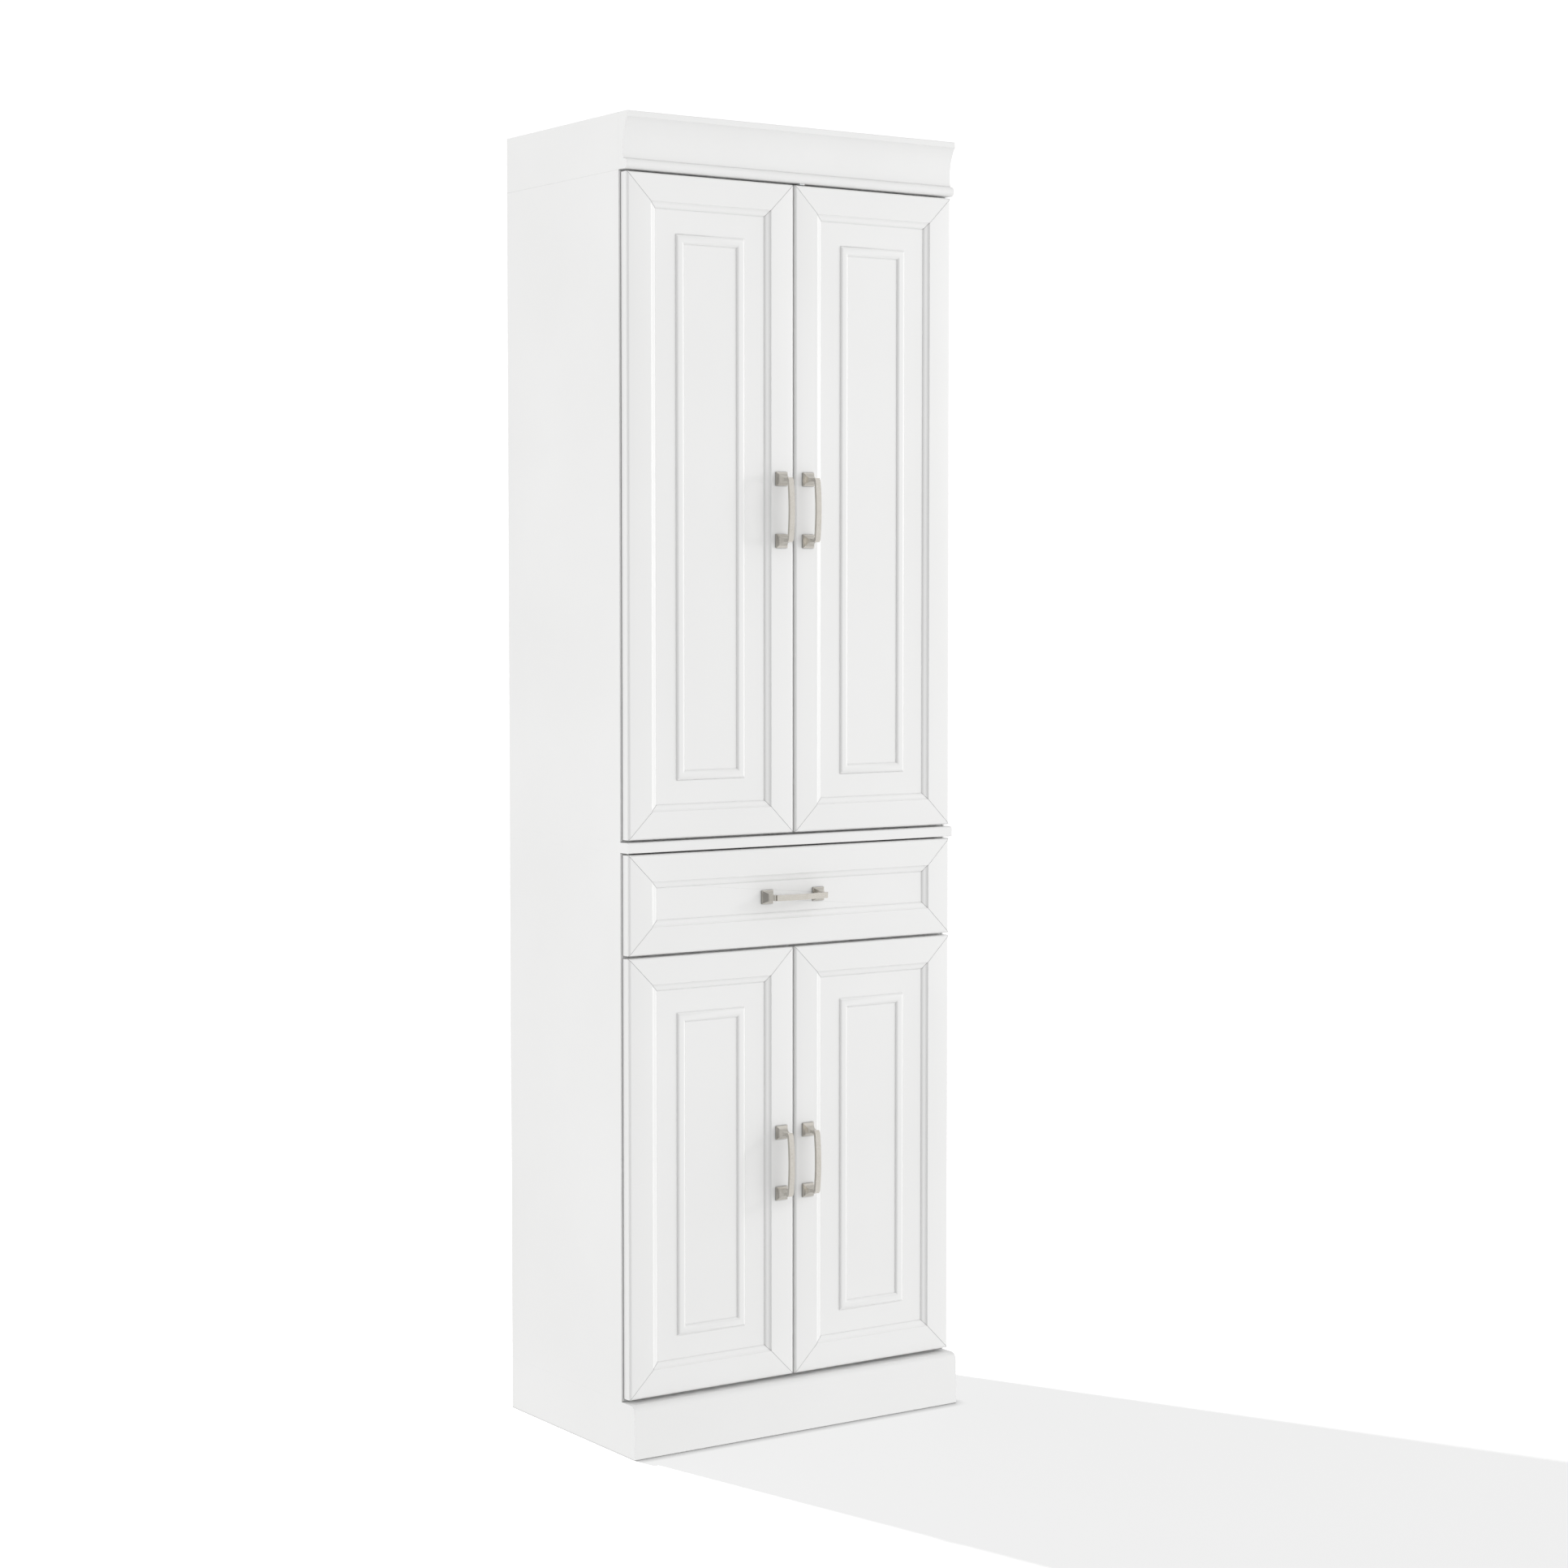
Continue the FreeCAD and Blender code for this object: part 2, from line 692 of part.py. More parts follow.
def shelf(name, first_pin, step):
    """An adjustable shelf resting on four pins in the numbered holes, and those pins."""
    hole = f"{first_pin} + {step} * pin_pitch"
    under = f"{hole} + pin_radius"
    let_in = "pin_hole_depth - 0.5"
    node(
        name,
        board(
            name,
            (f"{INNER_LEFT} + shelf_play", f"{INNER_RIGHT} - shelf_play"),
            (f"{FRONT} + shelf_setback", f"{BACK_INSIDE} - 2"),
            (under, f"{under} + board"),
        ),
    )
    pins = []
    for side, way, wall in (("left", 1, INNER_LEFT), ("right", -1, INNER_RIGHT)):
        ends = sorted_pair(f"{wall} - {way} * ({let_in})", f"{wall} + {way} * (pin_length - ({let_in}))", way)
        for place, row in enumerate((f"{FRONT} + plate_setback", f"{BACK_INSIDE} - pin_rear_setback")):
            pins.append(rod(f"{name}_pin_{place}_{side}", "x", *ends, (row, hole), "pin_radius"))
    return pins


# Crown: a moulded front, flat sides, a dust top set down inside and a rail at the back
crown_y = {
    key: f"{FRONT} - crown_{key}" for key in ("lip_out", "cove_start", "cove_out", "neck_out", "bead_out")
}
LIP_UNDER = "height - crown_lip_height"
node(
    "crown_moulding",
    prism(
        "crown_moulding",
        "YZ",
        LEFT,
        RIGHT,
        [
            (FRONT, "crown_low"),
            (FRONT, "height"),
            (f"{crown_y['lip_out']} + crown_lip_round", "height", "crown_lip_round", 1),
            (crown_y["lip_out"], "height - crown_lip_round"),
            (crown_y["lip_out"], LIP_UNDER),
            (crown_y["cove_start"], f"{LIP_UNDER} - 1.5", "crown_cove_radius", -1),
            (crown_y["cove_out"], "crown_low + crown_cove_rise", "crown_neck_radius", -1),
            (crown_y["neck_out"], "crown_low + crown_neck_rise", "crown_bead_radius", 1),
            (crown_y["bead_out"], "crown_low + crown_bead_rise", "crown_bead_rise", 1),
            (f"{crown_y['bead_out']} + crown_bead_rise", "crown_low"),
        ],
    ),
)
for name, span in (("crown_side_left", (LEFT, INNER_LEFT)), ("crown_side_right", (INNER_RIGHT, RIGHT))):
    node(name, board(name, span, (FRONT, BACK), ("crown_low", "height")))
CROWN_TOP = "(height - crown_top_drop)"
node(
    "crown_top_panel",
    board(
        "crown_top_panel",
        (INNER_LEFT, INNER_RIGHT),
        (FRONT, f"{BACK} - board"),
        (f"{CROWN_TOP} - board", CROWN_TOP),
    ),
)
node(
    "crown_back_rail",
    board("crown_back_rail", (INNER_LEFT, INNER_RIGHT), (f"{BACK} - board", BACK), ("crown_low", CROWN_TOP)),
)
node(
    "door_stop",
    board(
        "door_stop",
        ("12", "21"),
        (f"{DOOR_FACE} + 3", f"{DOOR_FACE} + 13"),
        ("crown_low - 1.8", "crown_low"),
    ),
)

# Upper cabinet
cabinet_side("upper_side_left", 1, "waist_high", "crown_low", "upper_first_pin", 27)
cabinet_side("upper_side_right", -1, "waist_high", "crown_low", "upper_first_pin", 27)
for name, low in (("upper_top_panel", "crown_low - board"), ("upper_bottom_panel", "waist_high")):
    node(name, board(name, (INNER_LEFT, INNER_RIGHT), (FRONT, BACK_INSIDE), (low, f"{low} + board")))
node(
    "upper_back_panel",
    board("upper_back_panel", (INNER_LEFT, INNER_RIGHT), (BACK_INSIDE, BACK), ("waist_high", "crown_low")),
)
pins = shelf("upper_shelf_low", "upper_first_pin", 5)
pins += shelf("upper_shelf_middle", "upper_first_pin", 12)
pins += shelf("upper_shelf_high", "upper_first_pin", 20)

# Waist board between the two cabinets, with a softened front edge
node(
    "waist_board",
    prism(
        "waist_board",
        "YZ",
        LEFT,
        RIGHT,
        [
            (BACK, "waist_low"),
            (BACK, "waist_high"),
            (f"{FRONT} - waist_out + waist_top_round", "waist_high", "waist_top_round", 1),
            (f"{FRONT} - waist_out", "waist_high - waist_top_round"),
            (f"{FRONT} - waist_out", "waist_low + waist_under_round", "waist_under_round", 1),
            (f"{FRONT} - waist_out + waist_under_round", "waist_low"),
        ],
    ),
)

# Lower cabinet
cabinet_side("lower_side_left", 1, "plinth_height", "waist_low", "lower_first_pin", 12)
cabinet_side("lower_side_right", -1, "plinth_height", "waist_low", "lower_first_pin", 12)
for name, low in (("drawer_divider", "divider_low"), ("lower_bottom_panel", "plinth_height")):
    node(name, board(name, (INNER_LEFT, INNER_RIGHT), (FRONT, BACK_INSIDE), (low, f"{low} + board")))
node(
    "lower_back_panel",
    board("lower_back_panel", (INNER_LEFT, INNER_RIGHT), (BACK_INSIDE, BACK), ("plinth_height", "waist_low")),
)
pins += shelf("lower_shelf", "lower_first_pin", 5)
node("shelf_pins", group("shelf_pins", pins))

# Plinth: a moulded front and two sides mitred to it, and a rail at the back
PLINTH_FACE = f"({FRONT} - plinth_out)"
PLINTH_BEHIND = f"({PLINTH_FACE} + board)"
plinth_front = prism(
    "plinth_front_section",
    "YZ",
    LEFT,
    RIGHT,
    [
        (f"{PLINTH_FACE} + plinth_ease", "0"),
        (PLINTH_BEHIND, "0"),
        (PLINTH_BEHIND, "plinth_height - board"),
        (FRONT, "plinth_height - board"),
        (FRONT, "plinth_height"),
        (f"{PLINTH_FACE} + plinth_round", "plinth_height", "plinth_round", 1),
        (PLINTH_FACE, "plinth_height - plinth_round"),
        (PLINTH_FACE, "plinth_ease"),
    ],
)
plinth_plan = prism(
    "plinth_front_plan",
    "XY",
    "0",
    "plinth_height",
    [
        (LEFT, PLINTH_FACE),
        (RIGHT, PLINTH_FACE),
        (INNER_RIGHT, PLINTH_BEHIND),
        (INNER_RIGHT, FRONT),
        (INNER_LEFT, FRONT),
        (INNER_LEFT, PLINTH_BEHIND),
    ],
)
node("plinth_front", shared("plinth_front", [plinth_front, plinth_plan]))
for side, way in (("left", 1), ("right", -1)):
    outer = f"-{way} * width / 2"
    inner = f"{outer} + {way} * board"
    section = prism(
        f"plinth_side_{side}_section",
        "YZ",
        *sorted_pair(outer, inner, way),
        [
            (f"{PLINTH_FACE} + plinth_ease", "0"),
            (BACK, "0"),
            (BACK, "plinth_height"),
            (f"{PLINTH_FACE} + plinth_round", "plinth_height", "plinth_round", 1),
            (PLINTH_FACE, "plinth_height - plinth_round"),
            (PLINTH_FACE, "plinth_ease"),
        ],
    )
    plan = prism(
        f"plinth_side_{side}_plan",
        "XY",
        "0",
        "plinth_height",
        [(outer, PLINTH_FACE), (inner, PLINTH_BEHIND), (inner, BACK), (outer, BACK)],
    )
    node(f"plinth_side_{side}", shared(f"plinth_side_{side}", [section, plan]))
node(
    "plinth_back_rail",
    board("plinth_back_rail", (INNER_LEFT, INNER_RIGHT), (f"{BACK} - board", BACK), ("0", "plinth_height")),
)

# Doors, and the plates that carry them on the cabinet sides
LEFT_DOOR = (f"{LEFT} + door_inset", "-centre_gap / 2")
RIGHT_DOOR = ("centre_gap / 2", f"{RIGHT} - door_inset")
plates = []
for level, low, high, count in (
    ("upper", "upper_door_low", "upper_door_high", 3),
    ("lower", "lower_door_low", "lower_door_high", 2),
):
    heights = hinge_heights(low, high, count)
    for side, span, way, wall in (("left", LEFT_DOOR, 1, INNER_LEFT), ("right", RIGHT_DOOR, -1, INNER_RIGHT)):
        door(f"{level}_{side}", span, (low, high), way, heights)
        plates += [
            hinge_plate(f"{level}_{side}_plate_{index}", wall, way, height)
            for index, height in enumerate(heights)
        ]
node("hinge_plates", group("hinge_plates", plates))

# Drawer front
DRAWER_X = (f"{LEFT} + door_inset", f"{RIGHT} - door_inset")
DRAWER_Z = ("drawer_low", "drawer_high")
DRAWER_SEAT = f"({DOOR_FACE} + recess)"
BOX_FRONT = (DOOR_BACK, f"{DOOR_BACK} + box_board")
drawer_middle = "(drawer_low + drawer_high) / 2"
drawer_screws = [(f"{sign} * pull_spacing / 2", drawer_middle) for sign in (-1, 1)]
blank, tools, panel = panelled_front("drawer", DRAWER_X, DRAWER_Z, beaded=False)
node("drawer_front_frame", carved("drawer_front_frame", blank, *tools))
panel_bores = screw_bores("drawer_panel_bore", drawer_screws, DRAWER_SEAT, DOOR_BACK)
node("drawer_front_panel", carved("drawer_front_panel", panel, group("drawer_panel_bores", panel_bores)))
fitted_pull("drawer_handle", "0", DRAWER_SEAT, drawer_middle, lying=True)
pull_screws("drawer_handle_screws", drawer_screws, DRAWER_SEAT, BOX_FRONT[1])

# Drawer box: sides, a front and back between them, and a bottom let into grooves
BOX_LEFT = f"({INNER_LEFT} + slide_space)"
BOX_RIGHT = f"({INNER_RIGHT} - slide_space)"
BOX_BACK = f"({DOOR_BACK} + box_length)"
box_z = ("box_low", "box_high")
bottom = (
    (f"{BOX_LEFT} + box_board - box_groove", f"{BOX_RIGHT} - box_board + box_groove"),
    (f"{BOX_FRONT[1]} - box_groove", f"{BOX_BACK} - box_board + box_groove"),
    ("box_bottom_low", "box_bottom_low + box_bottom"),
)
box_pieces = {
    "drawer_side_left": ((BOX_LEFT, f"{BOX_LEFT} + box_board"), (DOOR_BACK, BOX_BACK)),
    "drawer_side_right": ((f"{BOX_RIGHT} - box_board", BOX_RIGHT), (DOOR_BACK, BOX_BACK)),
    "drawer_box_front": ((f"{BOX_LEFT} + box_board", f"{BOX_RIGHT} - box_board"), BOX_FRONT),
    "drawer_box_back": (
        (f"{BOX_LEFT} + box_board", f"{BOX_RIGHT} - box_board"),
        (f"{BOX_BACK} - box_board", BOX_BACK),
    ),
}
for name, (x, y) in box_pieces.items():
    tools = [board(name + "_groove", *bottom)]
    if name == "drawer_box_front":
        tools.append(group(name + "_bores", screw_bores(name + "_bore", drawer_screws, *BOX_FRONT)))
    node(name, carved(name, board(name + "_blank", x, y, box_z), *tools))
node("drawer_bottom", board("drawer_bottom", *bottom))


def channel(name, way, web, lip, turn, half, y):
    """A C-section rail. Web and lip are distances in from the cabinet side, half is half its height, and
    turn is 1 where the lips point away from that side and -1 where they point at it."""
    wall = f"-{way} * (width / 2 - board)"
    back = f"{wall} + {way} * {web}"
    inside = f"{wall} + {way} * ({web} + {turn} * sheet_steel)"
    edge = f"{wall} + {way} * {lip}"
    top, low = f"slide_centre + {half}", f"slide_centre - {half}"
    section = [
        (back, low),
        (edge, low),
        (edge, f"{low} + sheet_steel"),
        (inside, f"{low} + sheet_steel"),
        (inside, f"{top} - sheet_steel"),
        (edge, f"{top} - sheet_steel"),
        (edge, top),
        (back, top),
    ]
    return prism(name, "XZ", *y, section)


# Telescopic runners: a rail on each cabinet side, a middle rail and a rail on each drawer side
rails = (
    ("slide_cabinet_rails", "0", "cabinet_rail_lip", 1, "cabinet_rail_half", 3, 303),
    ("slide_middle_rails", "middle_rail_web", "middle_rail_lip", 1, "middle_rail_half", 4, 290),
    ("slide_drawer_rails", "slide_space", "drawer_rail_lip", -1, "drawer_rail_half", 11, 300),
)
for name, web, lip, turn, half, start, stop in rails:
    span = (f"{FRONT} + {start}", f"{FRONT} + {stop}")
    left = channel(name + "_left", 1, web, lip, turn, half, span)
    right = channel(name + "_right", -1, web, lip, turn, half, span)
    node(name, group(name, [left, right]))

doc.recompute()

# Nothing is written unless every object rebuilt and every piece is a sound solid
for item in doc.Objects:
    if "Invalid" in item.State or "Error" in item.State:
        raise RuntimeError(f"{item.Name} did not rebuild: {item.State}")
for item in nodes:
    shape = item.Shape
    if shape.isNull() or not shape.isValid() or not shape.Solids:
        raise RuntimeError(f"{item.Label} is not a sound solid")
os.makedirs("parts", exist_ok=True)
for item in nodes:
    item.Shape.exportStep(f"parts/{item.Label}.step")
print(len(nodes), "pieces written")
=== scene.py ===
"""Looks, light and camera for the tall white pantry cabinet. Metres; +Z is up and the front faces -Y."""

import json
import math

import bmesh
import bpy
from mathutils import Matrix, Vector


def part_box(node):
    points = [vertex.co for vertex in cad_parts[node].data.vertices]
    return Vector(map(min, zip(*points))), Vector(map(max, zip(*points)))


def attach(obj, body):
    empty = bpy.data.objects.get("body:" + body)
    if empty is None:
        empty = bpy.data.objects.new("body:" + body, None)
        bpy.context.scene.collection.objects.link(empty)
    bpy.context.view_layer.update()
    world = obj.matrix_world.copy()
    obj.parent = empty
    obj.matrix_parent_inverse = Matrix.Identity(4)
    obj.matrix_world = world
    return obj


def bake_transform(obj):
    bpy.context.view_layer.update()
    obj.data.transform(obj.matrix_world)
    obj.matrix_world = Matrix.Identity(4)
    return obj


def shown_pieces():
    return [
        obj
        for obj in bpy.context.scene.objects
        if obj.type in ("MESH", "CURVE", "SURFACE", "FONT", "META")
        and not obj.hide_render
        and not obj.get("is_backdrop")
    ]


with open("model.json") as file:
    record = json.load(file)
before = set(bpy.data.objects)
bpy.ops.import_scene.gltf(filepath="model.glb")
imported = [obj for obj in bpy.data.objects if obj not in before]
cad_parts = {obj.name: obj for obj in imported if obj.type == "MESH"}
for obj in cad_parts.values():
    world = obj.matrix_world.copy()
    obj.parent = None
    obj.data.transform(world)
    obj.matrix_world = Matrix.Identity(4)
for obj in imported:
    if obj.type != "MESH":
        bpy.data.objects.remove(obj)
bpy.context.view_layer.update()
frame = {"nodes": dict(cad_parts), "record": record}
nodes = frame["nodes"]

scene = bpy.context.scene
scene.view_settings.view_transform = "Standard"
scene.view_settings.look = "None"


# ---------------------------------------------------------------- node helpers


class Tree:
    """A node tree with short calls for what the finishes and the world share."""

    def __init__(self, tree):
        self.tree = tree

    def node(self, kind, inputs, **settings):
        """A new shader node with its settings made and its inputs filled."""
        made = self.tree.nodes.new("ShaderNode" + kind)
        for name, value in settings.items():
            setattr(made, name, value)
        self.fill(made, inputs)
        return made

    def fill(self, node, inputs):
        """Each input takes a number or colour, set on the socket, or another node's output, linked to it."""
        for name, value in inputs.items():
            if isinstance(value, bpy.types.NodeSocket):
                self.tree.links.new(value, node.inputs[name])
            else:
                node.inputs[name].default_value = value

    def reckon(self, operation, *values):
        """The result of one arithmetic step."""
        return self.node("Math", dict(enumerate(values)), operation=operation).outputs[0]

    def spread(self, source, low, high, near=0.35, far=0.65, curve="LINEAR"):
        """The source, remapped from near and far to low and high."""
        inputs = {"Value": source, "From Min": near, "From Max": far, "To Min": low, "To Max": high}
        return self.node("MapRange", inputs, interpolation_type=curve).outputs["Result"]


class Shader(Tree):
    """A material's node tree, with the textures that the finishes are made of."""

    def __init__(self, name):
        self.material = bpy.data.materials.new(name)
        self.material.use_nodes = True
        super().__init__(self.material.node_tree)
        self.surface = self.tree.nodes["Principled BSDF"]
        self.place = self.node("TexCoord", {}).outputs["Object"]

    def stretched(self, scale):
        """Object coordinates scaled by a different amount on each axis."""
        return self.node("Mapping", {"Vector": self.place, "Scale": scale}).outputs["Vector"]

    def noise(self, scale, detail=2.0, vector=None, roughness=0.5):
        """Smooth noise; scale is about how many blotches there are in a metre."""
        inputs = {"Vector": vector or self.place, "Scale": scale, "Detail": detail, "Roughness": roughness}
        return self.node("TexNoise", inputs).outputs["Fac"]

    def tinted(self, source, dark, light):
        """A colour between two others, by the source."""
        ramp = self.node("ValToRGB", {"Fac": source})
        for stop, place, colour in zip(ramp.color_ramp.elements, (0.3, 0.7), (dark, light)):
            stop.position = place
            stop.color = (*colour, 1)
        return ramp.outputs["Color"]

    def bumped(self, source, distance, below=None):
        """A surface raised by the source times distance, in metres, over an earlier bump."""
        inputs = {"Height": source, "Distance": distance, "Strength": 1.0}
        if below:
            inputs["Normal"] = below
        return self.node("Bump", inputs).outputs["Normal"]

    def openness(self, reach, samples):
        """How open each place is to the air within a reach, as the node's outputs Color and AO."""
        return self.node("AmbientOcclusion", {"Distance": reach}, samples=samples).outputs

    def painted_crease_shade(self, colour, reach, dark):
        """The colour with painted shade: darkened by ambient occlusion towards the bottom of joints and
        corners that are narrower than the reach.
        """
        shade = self.spread(self.openness(reach, samples=4)["AO"], dark, 1.0, near=0.3, far=0.9)
        return self.node("VectorMath", {0: colour, "Scale": shade}, operation="SCALE").outputs["Vector"]

    def give(self, **inputs):
        """Fills the surface's inputs, whose names have underscores here, and returns the material."""
        self.fill(self.surface, {name.replace("_", " "): value for name, value in inputs.items()})
        return self.material


# ---------------------------------------------------------------- finishes

# Reach and depth of the painted shade that darkens the lacquer's colour in joints and corners.
PAINTED_SHADE_REACH = 0.0025
PAINTED_SHADE_DARK = 0.3
WHITE_DARK = (0.838, 0.838, 0.832)
WHITE_LIGHT = (0.862, 0.862, 0.857)
NICKEL_DARK = (0.545, 0.52, 0.475)
NICKEL_LIGHT = (0.585, 0.56, 0.515)
NICKEL_ROUGHNESS = 0.22


def lacquer(name, dark, light, gloss):
    """Sprayed lacquer: cloudy by a hair, with a fine orange peel and a slow ripple left by sanding, and with
    painted shade darkening its colour in joints and corners.
    """
    s = Shader(name)
    clouds = s.noise(3.1, detail=3)
    peel = s.bumped(s.noise(620, detail=2), 0.00002)
    ripple = s.bumped(s.noise(16, detail=1), 0.00025, below=peel)
    return s.give(
        # Painted shade: ambient occlusion darkens the colour at the bottom of joints and corners.
        Base_Color=s.painted_crease_shade(s.tinted(clouds, dark, light), PAINTED_SHADE_REACH, PAINTED_SHADE_DARK),
        Roughness=s.spread(s.noise(45, detail=4), gloss, gloss + 0.07),
        Specular_IOR_Level=0.45,
        Normal=ripple,
    )


def melamine(name, dark, light, grain):
    """Foil-faced board with a faint pressed grain along one axis; grain is the scale on each axis."""
    s = Shader(name)
    pores = s.noise(1.0, detail=6, vector=s.stretched(grain), roughness=0.65)
    return s.give(
        Base_Color=s.tinted(pores, dark, light),
        Roughness=s.spread(pores, 0.42, 0.54),
        Specular_IOR_Level=0.4,
        Normal=s.bumped(pores, 0.00006),
    )


def brushed(name, dark, light, streaks, roughness):
    """Plated metal brushed along one axis; streaks is the scale on each axis, small along the brushing."""
    s = Shader(name)
    lines = s.noise(1.0, detail=5, vector=s.stretched(streaks), roughness=0.7)
    return s.give(
        Base_Color=s.tinted(s.noise(60, detail=3), dark, light),
        Metallic=1.0,
        Roughness=s.spread(lines, roughness - 0.05, roughness + 0.09),
        Normal=s.bumped(lines, 0.000012),
    )


def plastic(name, dark, light):
    """Moulded plastic, a little translucent, with a very fine grain."""
    s = Shader(name)
    return s.give(
        Base_Color=s.tinted(s.noise(90), dark, light),
        Roughness=s.spread(s.noise(300), 0.3, 0.4),
        Subsurface_Weight=0.15,
        Normal=s.bumped(s.noise(1500), 0.00001),
    )


def nickel(name, streaks):
    """The pulls' brushed nickel; streaks is the scale on each axis."""
    return brushed(name, NICKEL_DARK, NICKEL_LIGHT, streaks, NICKEL_ROUGHNESS)


finishes = {
    "white_lacquer": lacquer("white_lacquer", WHITE_DARK, WHITE_LIGHT, 0.34),
    "shelf_board": melamine("shelf_board", (0.81, 0.81, 0.80), (0.84, 0.84, 0.832), (14, 900, 900)),
    "drawer_board": melamine("drawer_board", (0.80, 0.80, 0.79), (0.835, 0.835, 0.825), (700, 12, 700)),
    "back_board": melamine("back_board", (0.79, 0.79, 0.78), (0.82, 0.82, 0.81), (600, 600, 12)),
    "brushed_nickel": nickel("brushed_nickel", (2600, 2600, 40)),
    "plated_steel": brushed("plated_steel", (0.55, 0.56, 0.58), (0.66, 0.67, 0.69), (900, 900, 900), 0.3),
    "white_plastic": plastic("white_plastic", (0.84, 0.84, 0.83), (0.88, 0.88, 0.87)),
}
nickel_across = nickel("brushed_nickel_across", (40, 2600, 2600))

slot_of = {part["node"]: part["material_slot"] for part in frame["record"]["subparts"]}
for name, piece in nodes.items():
    finish = nickel_across if name == "drawer_handle" else finishes[slot_of[name]]
    for slot in piece.material_slots:
        slot.material = finish


# ---------------------------------------------------------------- eased edges

WELD_DISTANCE = 0.00001
EASED_BOARD = 0.0005
EASED_METAL = 0.0003
EASED_SEGMENTS = 2
EASED_ANGLE = math.radians(32)


def welding():
    """Geometry nodes that close the imported seams and drop the fixed normals, so that a bevel can work."""
    group = bpy.data.node_groups.new("closed_surface", "GeometryNodeTree")
    group.interface.new_socket("Geometry", in_out="INPUT", socket_type="NodeSocketGeometry")
    group.interface.new_socket("Geometry", in_out="OUTPUT", socket_type="NodeSocketGeometry")
    start = group.nodes.new("NodeGroupInput")
    merge = group.nodes.new("GeometryNodeMergeByDistance")
    merge.inputs["Distance"].default_value = WELD_DISTANCE
    drop = group.nodes.new("GeometryNodeRemoveAttribute")
    drop.inputs["Name"].default_value = "custom_normal"
    smooth = group.nodes.new("GeometryNodeSetShadeSmooth")
    end = group.nodes.new("NodeGroupOutput")
    chain = (start, merge, drop, smooth, end)
    for before, after in zip(chain, chain[1:]):
        group.links.new(before.outputs[0], after.inputs[0])
    return group


def eased(piece, width, closed_surface):
    """Rounds the sharp edges of a piece by a small width, as sanding and spraying leave them."""
    piece.modifiers.new("closed", "NODES").node_group = closed_surface
    bevel = piece.modifiers.new("eased", "BEVEL")
    bevel.width = width
    bevel.segments = EASED_SEGMENTS
    bevel.limit_method = "ANGLE"
    bevel.angle_limit = EASED_ANGLE
    bevel.miter_outer = "MITER_ARC"
    bevel.use_clamp_overlap = True
    bevel.harden_normals = True


closed_surface = welding()
eased_width = {
    "white_lacquer": EASED_BOARD,
    "shelf_board": EASED_BOARD,
    "drawer_board": EASED_BOARD,
    "back_board": EASED_BOARD,
    "brushed_nickel": EASED_METAL,
}
for name, piece in nodes.items():
    if slot_of[name] in eased_width:
        eased(piece, eased_width[slot_of[name]], closed_surface)


# ---------------------------------------------------------------- pieces made here


def made_piece(name, build, finish):
    """A new object from a finished bmesh, in one material."""
    mesh = bpy.data.meshes.new(name)
    build.to_mesh(mesh)
    build.free()
    mesh.materials.append(finish)
    piece = bpy.data.objects.new(name, mesh)
    scene.collection.objects.link(piece)
    return piece


# ---------------------------------------------------------------- hinge arms

LINK_WIDTH = 0.0105
LINK_THICKNESS = 0.0022
LINK_WAIST = 0.3
LINK_SECTIONS = 18
# The arm's outline with its corners cut, in half widths: across the strip, then up it.
LINK_SECTION = (
    (-1, -0.85), (-0.6, -1), (0.6, -1), (1, -0.85),
    (1, 0.85), (0.6, 1), (-0.6, 1), (-1, 0.85),
)
HINGE_FROM_END = 0.1
HINGE_OVER_MIDDLE = 0.06
NOSE_FROM_WALL = 0.0085
NOSE_BEHIND_FRONT = 0.0025
CUP_ASIDE = 0.0015
CUP_INSIDE = 0.003


def hinge_link(name, start, end):
    """The arm from a hinge's plate into its cup. It is waisted."""
    across = Vector((0, 0, 1)).cross(end - start).normalized() * (LINK_THICKNESS / 2)
    corners = len(LINK_SECTION)
    build = bmesh.new()
    rings = []
    for index in range(LINK_SECTIONS + 1):
        share = index / LINK_SECTIONS
        upright = Vector((0, 0, LINK_WIDTH / 2 * (1 - LINK_WAIST * math.sin(math.pi * share))))
        centre = start.lerp(end, share)
        rings.append([build.verts.new(centre + across * u + upright * v) for u, v in LINK_SECTION])
    for before, after in zip(rings, rings[1:]):
        for corner in range(corners):
            beside = (corner + 1) % corners
            build.faces.new((before[corner], before[beside], after[beside], after[corner]))
    build.faces.new(rings[0])
    build.faces.new(rings[-1])
    bmesh.ops.recalc_face_normals(build, faces=build.faces)
    piece = made_piece(name, build, finishes["plated_steel"])
    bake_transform(piece)


def hinge_links():
    """An arm for every hinge: three on each upper door and two on each lower one."""
    plates_low, plates_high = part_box("hinge_plates")
    for level, count in (("upper", 3), ("lower", 2)):
        for side, way in (("left", 1), ("right", -1)):
            door = f"{level}_{side}_door"
            frame_low, frame_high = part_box(door + "_frame")
            cup_low, cup_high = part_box(f"{level}_{side}_hinge_cups")
            wall = plates_low[0] if way > 0 else plates_high[0]
            nose = Vector((wall + way * NOSE_FROM_WALL, plates_low[1] + NOSE_BEHIND_FRONT, 0))
            cup_middle = (cup_low[0] + cup_high[0]) / 2
            cup = Vector((cup_middle - way * CUP_ASIDE, cup_low[1] + CUP_INSIDE, 0))
            middle = (frame_low[2] + frame_high[2]) / 2 + HINGE_OVER_MIDDLE
            heights = [frame_low[2] + HINGE_FROM_END, middle, frame_high[2] - HINGE_FROM_END]
            if count == 2:
                heights.remove(middle)
            for number, height in enumerate(heights):
                rise = Vector((0, 0, height))
                hinge_link(f"{level}_{side}_link_{number}", nose + rise, cup + rise)


hinge_links()


# ---------------------------------------------------------------- painted joint shadows and edge bands

JOINT_HALF = 0.00035
JOINT_SUNK = 0.00015
JOINT_DEEP = 0.0003
JOINT_FROM_END = 0.001
BAND_WIDE = 0.0037
BAND_PROUD = 0.001
BAND_LAP = 0.0005
STRIP_EASED = 0.2


